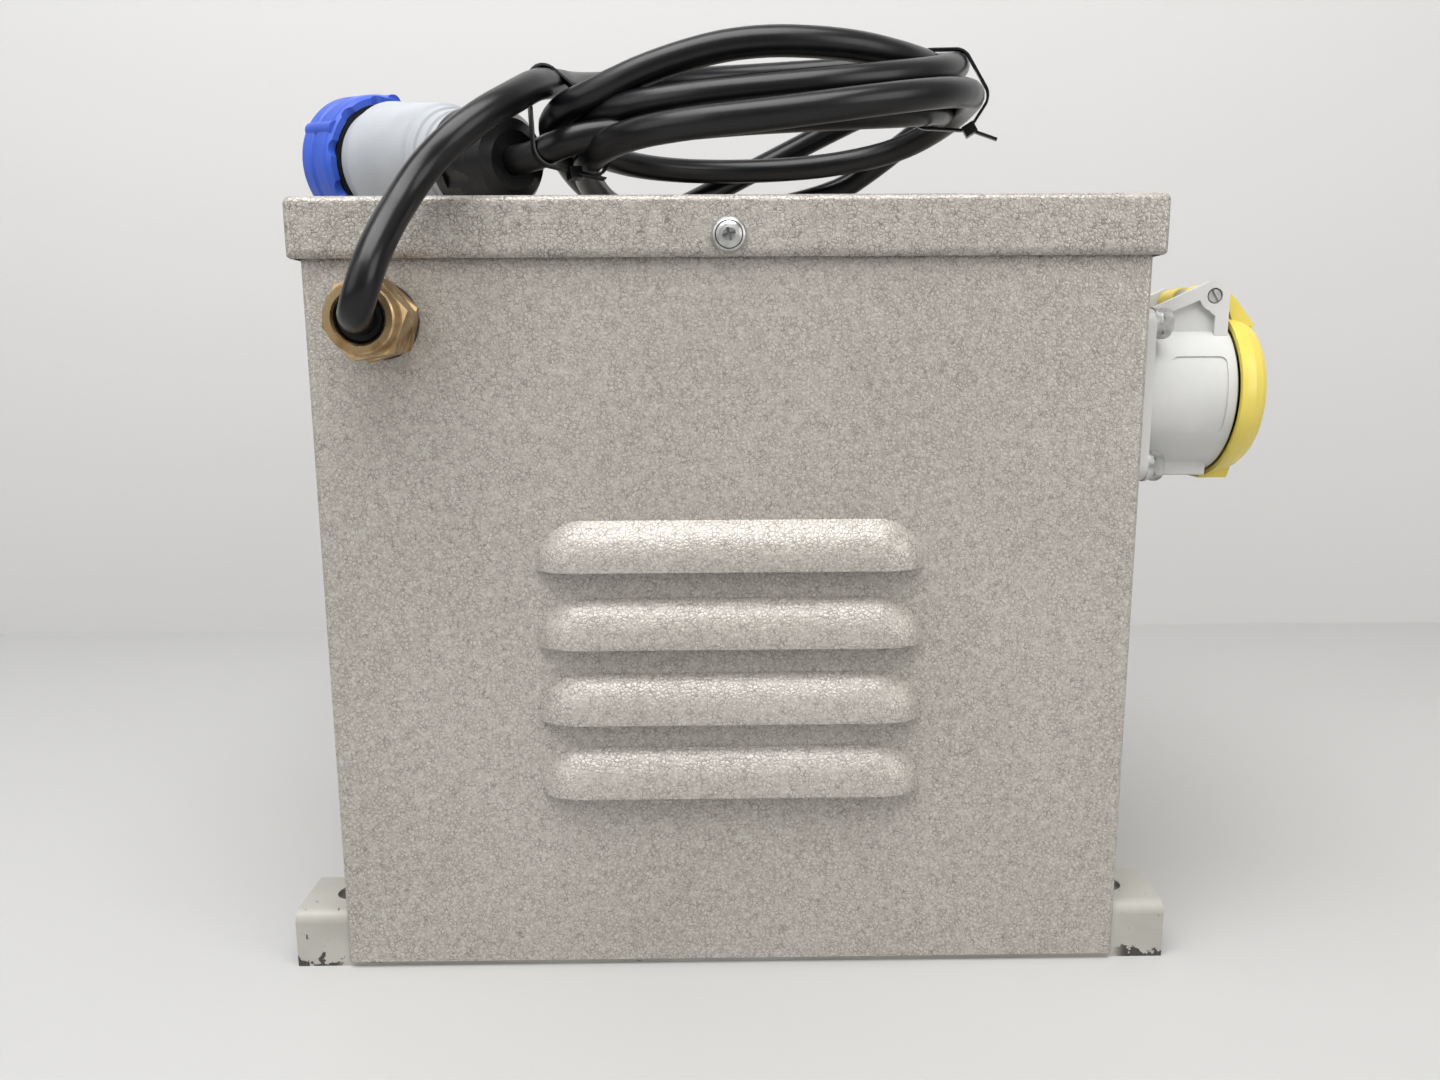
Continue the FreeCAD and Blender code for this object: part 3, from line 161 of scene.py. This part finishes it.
class Look:
    """A procedural material: one shader, and short calls that add texture nodes before it."""

    def __init__(self, name, colour=(0.5, 0.5, 0.5), roughness=0.5, metallic=0.0):
        self.material = bpy.data.materials.new(name)
        self.material.use_nodes = True
        self.tree = self.material.node_tree
        self.shader = self.tree.nodes["Principled BSDF"]
        self.shader.inputs["Base Color"].default_value = (*colour, 1)
        self.shader.inputs["Roughness"].default_value = roughness
        self.shader.inputs["Metallic"].default_value = metallic
        self.coords = self.add("ShaderNodeTexCoord").outputs["Object"]

    def add(self, kind, inputs=None, **settings):
        node = self.tree.nodes.new(kind)
        for name, value in settings.items():
            setattr(node, name, value)
        for name, value in (inputs or {}).items():
            self.put(node.inputs[name], value)
        return node

    def put(self, socket, value):
        if isinstance(value, bpy.types.NodeSocket):
            self.tree.links.new(value, socket)
        else:
            socket.default_value = value

    def set(self, **values):
        """Set shader sockets by name, with underscores for spaces."""
        for name, value in values.items():
            self.put(self.shader.inputs[name.replace("_", " ")], value)

    def noise(self, scale, detail=2.0, rough=0.5, vector=None, distortion=0.0):
        inputs = {"Vector": vector or self.coords, "Scale": scale, "Detail": detail,
                  "Roughness": rough, "Distortion": distortion}
        return self.add("ShaderNodeTexNoise", inputs)

    def cells(self, scale, feature="F1", vector=None, randomness=1.0):
        inputs = {"Vector": vector or self.coords, "Scale": scale, "Randomness": randomness}
        return self.add("ShaderNodeTexVoronoi", inputs, feature=feature)

    def math(self, operation, first, second=0.0, clamp=False):
        inputs = {0: first, 1: second}
        return self.add("ShaderNodeMath", inputs, operation=operation, use_clamp=clamp).outputs[0]

    def span(self, value, low, high, to_low=0.0, to_high=1.0, smooth=True):
        """Map a value from one range to another, held at both ends."""
        kind = "SMOOTHSTEP" if smooth else "LINEAR"
        inputs = {"Value": value, "From Min": low, "From Max": high, "To Min": to_low, "To Max": to_high}
        return self.add("ShaderNodeMapRange", inputs, interpolation_type=kind).outputs["Result"]

    def blend(self, factor, first, second):
        """Mix two colours or colour sockets by a factor."""
        node = self.add("ShaderNodeMix", data_type="RGBA")
        self.put(node.inputs[0], factor)
        sockets = [s for s in node.inputs if s.type == "RGBA"]
        for socket, value in zip(sockets, (first, second)):
            self.put(socket, value if isinstance(value, bpy.types.NodeSocket) else (*value, 1))
        return next(s for s in node.outputs if s.type == "RGBA")

    def wobble(self, scale, amount):
        """Object coordinates pushed about by noise, for lines that aren't straight."""
        push = self.add("ShaderNodeVectorMath", {0: self.noise(scale).outputs["Color"], 1: (0.5, 0.5, 0.5)},
                        operation="SUBTRACT")
        small = self.add("ShaderNodeVectorMath", {0: push.outputs[0], "Scale": amount}, operation="SCALE")
        moved = self.add("ShaderNodeVectorMath", {0: self.coords, 1: small.outputs[0]}, operation="ADD")
        return moved.outputs[0]

    def stretched(self, factors):
        """Object coordinates scaled along each axis, for grain that runs one way."""
        scaled = self.add("ShaderNodeVectorMath", {0: self.coords, 1: factors}, operation="MULTIPLY")
        return scaled.outputs[0]

    def height_of(self):
        return self.add("ShaderNodeSeparateXYZ", {0: self.coords}).outputs["Z"]

    def outer_ends(self):
        """1 past the side walls of the case and 0 between them."""
        x = self.add("ShaderNodeSeparateXYZ", {0: self.coords}).outputs["X"]
        away = self.math("ABSOLUTE", self.math("SUBTRACT", x, CASE_MIDDLE.x))
        return self.span(away, 0.149, 0.156)

    def bump(self, height, distance, strength=1.0):
        node = self.add("ShaderNodeBump", {"Height": height, "Distance": distance, "Strength": strength})
        self.put(self.shader.inputs["Normal"], node.outputs["Normal"])


def plain_stage(name, colour, roughness):
    look = Look(name, colour, roughness)
    tint = look.noise(1.5, 2.0).outputs["Fac"]
    light = tuple(c * 1.01 for c in colour)
    dark = tuple(c * 0.985 for c in colour)
    look.set(Base_Color=look.blend(tint, dark, light), Specular_IOR_Level=0.2)
    return look.material


# ---- materials ----------------------------------------------------------------------------

def hammertone_paint():
    """Silver-grey hammer finish: small glossy blisters parted by a net of fine dark lines, with pale speckles
    painted on as glints (painted highlight).
    """
    look = Look("hammertone_paint", roughness=0.36, metallic=0.2)
    place = look.wobble(900, 0.0009)
    edge = look.cells(640, "DISTANCE_TO_EDGE", place).outputs["Distance"]
    fine = look.cells(1150, "DISTANCE_TO_EDGE", place).outputs["Distance"]
    on_lid = look.span(look.height_of(), 0.2675, 0.2685)
    patch = look.span(look.noise(250, 3.0).outputs["Fac"], 0.34, 0.60, 0.30, 1.0)
    fine_patch = look.span(look.noise(380, 2.0, vector=place).outputs["Fac"], 0.40, 0.66, 0.25, 0.8)
    line = look.math("MULTIPLY", look.span(edge, 0.115, 0.015), patch)
    fine_line = look.math("MULTIPLY", look.span(fine, 0.17, 0.0), fine_patch)
    crack = look.math("MAXIMUM", line, fine_line)
    clouds = look.span(look.noise(16, 3.0).outputs["Fac"], 0.3, 0.7)
    base = look.blend(clouds, (0.385, 0.358, 0.314), (0.423, 0.393, 0.353))
    # Fine pale speckles are painted highlight: glints on the blister tops, painted into the colour.
    grain = look.span(look.noise(900, 2.0).outputs["Fac"], 0.40, 0.70)
    base = look.blend(look.math("MULTIPLY", grain, 0.55), base, (0.60, 0.575, 0.53))
    depth = look.span(on_lid, 0.0, 1.0, 0.58, 0.74)
    look.set(Base_Color=look.blend(look.math("MULTIPLY", crack, depth), base, (0.072, 0.062, 0.052)))
    look.set(Roughness=look.span(crack, 0.0, 1.0, 0.30, 0.60), Coat_Weight=0.35, Coat_Roughness=0.2)
    dome = look.math("POWER", look.span(edge, 0.0, 0.40, smooth=False), 0.55)
    swell = look.math("MULTIPLY", look.noise(260, 2.0).outputs["Fac"], 0.8)
    look.bump(look.math("ADD", dome, swell), 0.00022, 0.6)
    return look.material


def foot_paint():
    """Smooth satin grey paint, chipped to dark metal along the lower edge and the ends."""
    look = Look("foot_paint", roughness=0.42)
    clouds = look.span(look.noise(30, 3.0).outputs["Fac"], 0.3, 0.7)
    paint = look.blend(clouds, (0.330, 0.318, 0.285), (0.400, 0.388, 0.350))
    height = look.height_of()
    low = look.span(height, 0.0075, 0.0)
    ragged = look.noise(190, 5.0, 0.65).outputs["Fac"]
    chip = look.span(look.math("ADD", ragged, look.math("MULTIPLY", low, 0.24)), 0.655, 0.675)
    chip = look.math("MULTIPLY", chip, look.outer_ends())
    rubbed = look.noise(420, 3.0, 0.7, look.stretched((0.25, 1.0, 1.6))).outputs["Fac"]
    scuff = look.span(rubbed, 0.66, 0.70)
    scuff = look.math("MULTIPLY", scuff, look.span(height, 0.022, 0.004))
    worn = look.math("MAXIMUM", chip, look.math("MULTIPLY", scuff, 0.8))
    look.set(Base_Color=look.blend(worn, paint, (0.045, 0.040, 0.036)))
    look.set(Roughness=look.span(worn, 0.0, 1.0, 0.40, 0.62))
    skin = look.math("MULTIPLY", look.noise(160, 2.0).outputs["Fac"], 0.5)
    look.bump(look.math("SUBTRACT", skin, look.math("MULTIPLY", chip, 0.9)), 0.00012, 0.7)
    return look.material


def bright_metal(name, dark, light, roughness, grain):
    """Plated or galvanised metal with cloudy patches and fine rubbing marks."""
    look = Look(name, roughness=roughness, metallic=0.92)
    clouds = look.noise(grain, 4.0, 0.6).outputs["Fac"]
    look.set(Base_Color=look.blend(look.span(clouds, 0.3, 0.7), dark, light))
    rub = look.noise(900, 3.0, 0.6, look.stretched((1.0, 0.25, 1.0))).outputs["Fac"]
    look.set(Roughness=look.span(rub, 0.2, 0.8, roughness * 0.75, roughness * 1.35))
    look.bump(rub, 0.00003, 0.5)
    return look.material


def galvanised_steel():
    look = Look("galvanised_steel", roughness=0.42, metallic=0.9)
    spangle = look.cells(110, "F1", look.wobble(180, 0.004)).outputs["Color"]
    tone = look.add("ShaderNodeSeparateColor", {0: spangle}).outputs[0]
    look.set(Base_Color=look.blend(tone, (0.42, 0.43, 0.44), (0.62, 0.63, 0.64)))
    look.set(Roughness=look.span(tone, 0.0, 1.0, 0.36, 0.52))
    return look.material


def brass():
    """Turned brass: fine tool marks, tarnished brown in patches."""
    look = Look("brass", roughness=0.34, metallic=0.95)
    patches = look.span(look.noise(75, 4.0, 0.62).outputs["Fac"], 0.36, 0.68)
    bright = look.blend(look.noise(300, 3.0).outputs["Fac"], (0.56, 0.39, 0.20), (0.70, 0.52, 0.30))
    look.set(Base_Color=look.blend(patches, bright, (0.27, 0.165, 0.075)))
    look.set(Roughness=look.span(patches, 0.0, 1.0, 0.27, 0.50))
    marks = look.noise(1500, 2.0, 0.5, look.stretched((0.4, 3.0, 0.4))).outputs["Fac"]
    look.bump(marks, 0.00003, 0.6)
    return look.material


def dark_polymer(name, colour, roughness, dust, grain, shine):
    """Black rubber or nylon: soft mottling, a trace of dust and a fine skin."""
    look = Look(name, colour, roughness)
    specks = look.span(look.noise(650, 4.0, 0.7).outputs["Fac"], 0.60, 0.80)
    soft = look.span(look.noise(60, 3.0).outputs["Fac"], 0.35, 0.75)
    haze = look.math("ADD", look.math("MULTIPLY", specks, 0.5), look.math("MULTIPLY", soft, 0.35))
    lighter = tuple(min(1, c + dust) for c in colour)
    look.set(Base_Color=look.blend(haze, colour, lighter))
    look.set(Roughness=look.span(haze, 0.0, 0.8, roughness, roughness + 0.2), Specular_IOR_Level=shine)
    look.bump(look.noise(grain, 3.0, 0.6).outputs["Fac"], 0.00005, 0.5)
    return look.material


def moulded_plastic(name, colour, shade, roughness, grime=0.25):
    """Moulded plastic: even colour with faint clouding, handling marks and a spark-eroded skin."""
    look = Look(name, colour, roughness)
    clouds = look.span(look.noise(45, 3.0).outputs["Fac"], 0.3, 0.75)
    body = look.blend(clouds, colour, shade)
    handled = look.noise(230, 4.0, 0.65, look.stretched((1.0, 0.5, 0.5))).outputs["Fac"]
    marks = look.span(handled, 0.64, 0.80)
    grey = tuple(c * 0.55 for c in shade)
    look.set(Base_Color=look.blend(look.math("MULTIPLY", marks, grime), body, grey))
    look.set(Roughness=look.span(clouds, 0.0, 1.0, roughness * 0.85, roughness * 1.2))
    look.bump(look.noise(1400, 2.0).outputs["Fac"], 0.00004, 0.5)
    return look.material


def lamination_steel():
    """A varnished stack of thin sheets, seen as fine lines across the stack."""
    look = Look("electrical_steel", roughness=0.45, metallic=0.7)
    wave = look.add("ShaderNodeTexWave", {"Vector": look.coords, "Scale": 320.0, "Distortion": 0.6},
                    bands_direction="Y")
    look.set(Base_Color=look.blend(wave.outputs["Fac"], (0.05, 0.05, 0.055), (0.22, 0.22, 0.23)))
    look.bump(wave.outputs["Fac"], 0.00012, 0.7)
    return look.material


def enamelled_winding():
    """Closely laid enamelled copper wire."""
    look = Look("copper_winding", roughness=0.30, metallic=0.85)
    wave = look.add("ShaderNodeTexWave", {"Vector": look.coords, "Scale": 150.0, "Distortion": 0.3},
                    bands_direction="Z")
    look.set(Base_Color=look.blend(wave.outputs["Fac"], (0.22, 0.06, 0.02), (0.62, 0.25, 0.11)))
    look.bump(wave.outputs["Fac"], 0.0004, 0.8)
    return look.material


def striped_earth():
    """Green core insulation with a yellow stripe."""
    look = Look("earth_sheath", roughness=0.45)
    wave = look.add("ShaderNodeTexWave", {"Vector": look.coords, "Scale": 55.0, "Distortion": 1.0},
                    bands_direction="DIAGONAL")
    stripe = look.span(wave.outputs["Fac"], 0.55, 0.62)
    look.set(Base_Color=look.blend(stripe, (0.05, 0.28, 0.04), (0.72, 0.62, 0.03)))
    look.bump(look.noise(900).outputs["Fac"], 0.00004, 0.4)
    return look.material


def make_looks():
    """One material for each slot of the record."""
    return {
        "hammertone_paint": hammertone_paint(),
        "foot_paint": foot_paint(),
        "galvanised_steel": galvanised_steel(),
        "zinc_steel": bright_metal("zinc_steel", (0.30, 0.30, 0.295), (0.56, 0.56, 0.55), 0.34, 160),
        "brass": brass(),
        "black_rubber": dark_polymer("black_rubber", (0.004, 0.004, 0.0045), 0.42, 0.007, 900, 0.25),
        "cord_rubber": dark_polymer("cord_rubber", (0.003, 0.003, 0.004), 0.28, 0.006, 520, 0.36),
        "black_nylon": dark_polymer("black_nylon", (0.003, 0.003, 0.0035), 0.26, 0.006, 1300, 0.4),
        "grey_plastic": moulded_plastic("grey_plastic", (0.40, 0.415, 0.437), (0.35, 0.365, 0.387), 0.42),
        "blue_plastic": moulded_plastic("blue_plastic", (0.028, 0.09, 0.52), (0.022, 0.07, 0.43), 0.38),
        "white_grey_plastic": moulded_plastic("white_grey_plastic", (0.57, 0.57, 0.555),
                                              (0.50, 0.50, 0.485), 0.36),
        "yellow_plastic": moulded_plastic("yellow_plastic", (0.68, 0.55, 0.10), (0.61, 0.48, 0.08), 0.33),
        "electrical_steel": lamination_steel(),
        "copper_winding": enamelled_winding(),
        "bobbin_plastic": moulded_plastic("bobbin_plastic", (0.035, 0.035, 0.038), (0.05, 0.05, 0.055),
                                          0.5),
        "insulation_film": moulded_plastic("insulation_film", (0.60, 0.46, 0.10), (0.48, 0.35, 0.07), 0.25),
        # The fibre washer is coloured near-black as painted shade, standing in for the shadow between the
        # gland's hex and the case.
        "fibre": moulded_plastic("fibre", (0.035, 0.026, 0.02), (0.05, 0.036, 0.028), 0.7),
        "brown_sheath": moulded_plastic("brown_sheath", (0.13, 0.05, 0.02), (0.10, 0.04, 0.015), 0.42),
        "blue_sheath": moulded_plastic("blue_sheath", (0.02, 0.09, 0.38), (0.015, 0.07, 0.30), 0.42),
        "earth_sheath": striped_earth(),
    }


def dress_nodes(looks):
    """Give each carried-over CAD node the material of its slot."""
    for part in frame["record"]["subparts"]:
        mesh = frame["nodes"][part["node"]].data
        mesh.materials.clear()
        mesh.materials.append(looks[part["material_slot"]])


# ---- the supply cord ----------------------------------------------------------------------

CORD_DIAMETER = 0.011

# Out of the gland, up past the lid's edge and back over it into the left tie.
LEAD_ROUTE = [
    (-122.4, -145.0, 247.9), (-121.7, -151.0, 247.8), (-118.9, -157.4, 250.0), (-115.7, -160.2, 256.4),
    (-112.9, -156.6, 266.6), (-110.4, -148.2, 276.6), (-107.3, -139.2, 286.2), (-101.6, -133.5, 296.8),
    (-92.4, -130.0, 307.0), (-82.6, -122.5, 316.6), (-74.6, -109.5, 325.0),
]

# Each turn of the hank: the left, rear, right and front middles of its loop seen from above,
# and the heights of its eight eighths, starting from the left and going by the rear.
TURNS = [
    ((-68, -90), (40, 39), (99, -21), (14, -107), (335, 358, 371, 369, 358, 339, 328, 325)),
    ((-62, -50), (34, 33), (103, -30), (14, -122), (324, 322, 325, 331, 340, 329, 316, 313)),
    ((-57, -54), (38, 48), (93, -14), (6, -97), (307, 300, 338, 354, 352, 347, 347, 331)),
    ((-68, -74), (56, 44), (97, -6), (12, -88), (320, 296, 315, 335, 341, 329, 322, None)),
]
POINTS_PER_EIGHTH = 2
SQUARENESS = 0.92

# From the front of the last turn to the left end of the hank and into the plug's nut.
TAIL_ROUTE = [(-12, -89, 320), (-33, -90, 318), (-50, -90.5, 316), (-63.5, -88.5, 313)]


def glide(a, b, c, d, share):
    """The height between b and c, on a smooth curve through all four."""
    linear = (c - a) * share
    square = (2 * a - 5 * b + 4 * c - d) * share ** 2
    cube = (3 * b - a - 3 * c + d) * share ** 3
    return (2 * b + linear + square + cube) / 2


def hank_points():
    """The turns of the hank as one line of points, each quarter turn a rounded corner."""
    corners = [corner for turn in TURNS for corner in turn[:4]]
    heights = [height for turn in TURNS for height in turn[4] if height is not None]
    heights = [heights[0]] + heights + [heights[-1]]
    points = []
    for quarter, (start, end) in enumerate(zip(corners, corners[1:])):
        for step in range(2 * POINTS_PER_EIGHTH):
            angle = math.pi / 2 * step / (2 * POINTS_PER_EIGHTH)
            across = math.sin(angle) ** SQUARENESS
            along = 1 - math.cos(angle) ** SQUARENESS
            x_share, y_share = (along, across) if quarter % 2 == 0 else (across, along)
            eighth, rest = divmod(step, POINTS_PER_EIGHTH)
            first = 2 * quarter + eighth
            z = glide(*heights[first:first + 4], rest / POINTS_PER_EIGHTH)
            points.append((start[0] + (end[0] - start[0]) * x_share,
                           start[1] + (end[1] - start[1]) * y_share, z))
    points.append((*corners[-1], heights[-2]))
    return points


PLUG_REAR = at(-81.0, -76.0, 309.9)
PLUG_YAW = math.radians(137.0)
PLUG_TILT = math.radians(6.2)
PLUG_WAY = Vector((math.cos(PLUG_TILT) * math.cos(PLUG_YAW), math.cos(PLUG_TILT) * math.sin(PLUG_YAW),
                   math.sin(PLUG_TILT)))


def make_cord(look):
    route = [at(*p) for p in LEAD_ROUTE + hank_points() + TAIL_ROUTE]
    route.append(PLUG_REAR - PLUG_WAY * 9 * MM)
    route.append(PLUG_REAR + PLUG_WAY * 8 * MM)
    curve = bpy.data.curves.new("supply_cord", "CURVE")
    curve.dimensions = "3D"
    curve.bevel_depth = CORD_DIAMETER / 2
    curve.bevel_resolution = 6
    curve.resolution_u = 8
    curve.use_fill_caps = True
    spline = curve.splines.new("NURBS")
    spline.points.add(len(route) - 1)
    for point, place in zip(spline.points, route):
        point.co = (*place, 1)
    spline.order_u = 3
    spline.use_endpoint_u = True
    cord = bpy.data.objects.new("supply_cord", curve)
    bpy.context.collection.objects.link(cord)
    curve.materials.append(look)
    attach(cord, ROOT)
    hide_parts("supply_cord_lead", "supply_cord_hank", "supply_cord_tail")
    return cord


def middle_line(cord):
    """Points along the middle of the cord, read from a copy of its curve with no thickness."""
    curve = cord.data.copy()
    curve.bevel_depth = 0
    thread = bpy.data.objects.new("thread", curve)
    mesh = bpy.data.meshes.new_from_object(thread)
    line = [vertex.co.copy() for vertex in mesh.vertices]
    bpy.data.objects.remove(thread)
    bpy.data.meshes.remove(mesh)
    bpy.data.curves.remove(curve)
    return line


# Each cable tie: the middle of its loop, the way square to that loop, the point that its head
# hangs from, the way the head faces and the reach of its loose end.
TIES = {
    "cable_tie_left": ((-64, -84, 322), (-0.5, 0.85, -0.15), (-58.5, -83.5, 311), (0.1, 0, -1), (12, -5, -3)),
    "cable_tie_right": ((95, -56, 338), (0.2, 1, 0), (94.5, -56, 331), (0.5, 0, -0.85), (11, -1, -4)),
}
TIE_REACH = 32 * MM
TIE_STEPS = 64
TIE_RADIUS = 6.1 * MM
TIE_HALF_WIDTH = 1.4 * MM
TIE_THICKNESS = 1.1 * MM
TIE_EDGE = 0.25 * MM
HEAD_LIFT = 1.5 * MM
HEAD_HALF = (2.5 * MM, 2.2 * MM, 2.4 * MM)
LOOSE_END_HALF_THICKNESS = 0.55 * MM


def block_faces(first):
    """Six faces over eight corners: four of one end, then the same four of the other end."""
    sides = [(first + i, first + (i + 1) % 4, first + 4 + (i + 1) % 4, first + 4 + i) for i in range(4)]
    return sides + [tuple(first + i for i in (3, 2, 1, 0)), tuple(first + i for i in (4, 5, 6, 7))]


def block_corners(middle, along, out, across):
    """The eight corners of a block, from its middle and its three half edges."""
    ends = [middle - along, middle + along]
    signs = [(-1, -1), (1, -1), (1, 1), (-1, 1)]
    return [end + out * a + across * b for end in ends for a, b in signs]


def strands_held(line, middle, across):
    """Where the cord's middle line goes through a tie's loop."""
    strands = []
    for start, end in zip(line, line[1:]):
        before = (start - middle).dot(across)
        after = (end - middle).dot(across)
        if before * after < 0 and (start - middle).length < TIE_REACH:
            strands.append(start.lerp(end, before / (before - after)))
    return strands


def make_tie(name, look, line):
    """A strap drawn tight round the strands of the cord, with a head and a loose end."""
    middle, square, hang, face, loose = TIES[name]
    hang = at(*hang)
    across = Vector(square).normalized()
    middles = strands_held(line, at(*middle), across) + [hang]
    level = across.cross(Vector((0, 0, 1))).normalized()
    upright = level.cross(across)
    corners = []
    faces = []
    for step in range(TIE_STEPS):
        angle = 2 * math.pi * step / TIE_STEPS
        out = level * math.cos(angle) + upright * math.sin(angle)
        held = max(middles, key=lambda middle: middle.dot(out))
        for lift, side in ((0, -1), (1, -1), (1, 1), (0, 1)):
            away = out * (TIE_RADIUS + TIE_THICKNESS * lift)
            corners.append(held + away + across * TIE_HALF_WIDTH * side)
        after = (step + 1) % TIE_STEPS
        for i in range(4):
            faces.append((4 * step + i, 4 * step + (i + 1) % 4, 4 * after + (i + 1) % 4, 4 * after + i))
    out = Vector(face)
    out = (out - across * out.dot(across)).normalized()
    along = out.cross(across)
    head = hang + out * (TIE_RADIUS + HEAD_LIFT)
    faces += block_faces(len(corners))
    corners += block_corners(head, along * HEAD_HALF[0], out * HEAD_HALF[1], across * HEAD_HALF[2])
    reach = Vector(loose) * MM / 2
    flat = reach.cross(across).normalized()
    faces += block_faces(len(corners))
    corners += block_corners(head + reach, reach, flat * LOOSE_END_HALF_THICKNESS, across * TIE_HALF_WIDTH)
    mesh = bpy.data.meshes.new(name + "_strap")
    mesh.from_pydata([tuple(c) for c in corners], [], faces)
    mesh.materials.append(look)
    tie = bpy.data.objects.new(name + "_strap", mesh)
    bpy.context.collection.objects.link(tie)
    work = bmesh.new()
    work.from_mesh(mesh)
    bmesh.ops.recalc_face_normals(work, faces=work.faces)
    work.to_mesh(mesh)
    work.free()
    edge = tie.modifiers.new("edge", "BEVEL")
    edge.width = TIE_EDGE
    edge.segments = 2
    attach(tie, ROOT)
    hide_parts(name)
    return tie


PLUG_NODES = ["plug_gland_nut", "plug_body", "plug_shroud", "plug_lock_ring", "plug_pin_carrier",
              "plug_pins", "plug_ring_seal", "plug_cord_grip"]


# ---- the scene ----------------------------------------------------------------------------

def main():
    scene = bpy.context.scene
    scene.view_settings.view_transform = "Standard"
    looks = make_looks()
    dress_nodes(looks)
    make_camera()
    make_stage()
    make_lights()
    cord = make_cord(looks["cord_rubber"])
    on_cord = [frame["nodes"][name] for name in PLUG_NODES]
    line = middle_line(cord)
    on_cord += [make_tie(name, looks["black_nylon"], line) for name in TIES]


main()
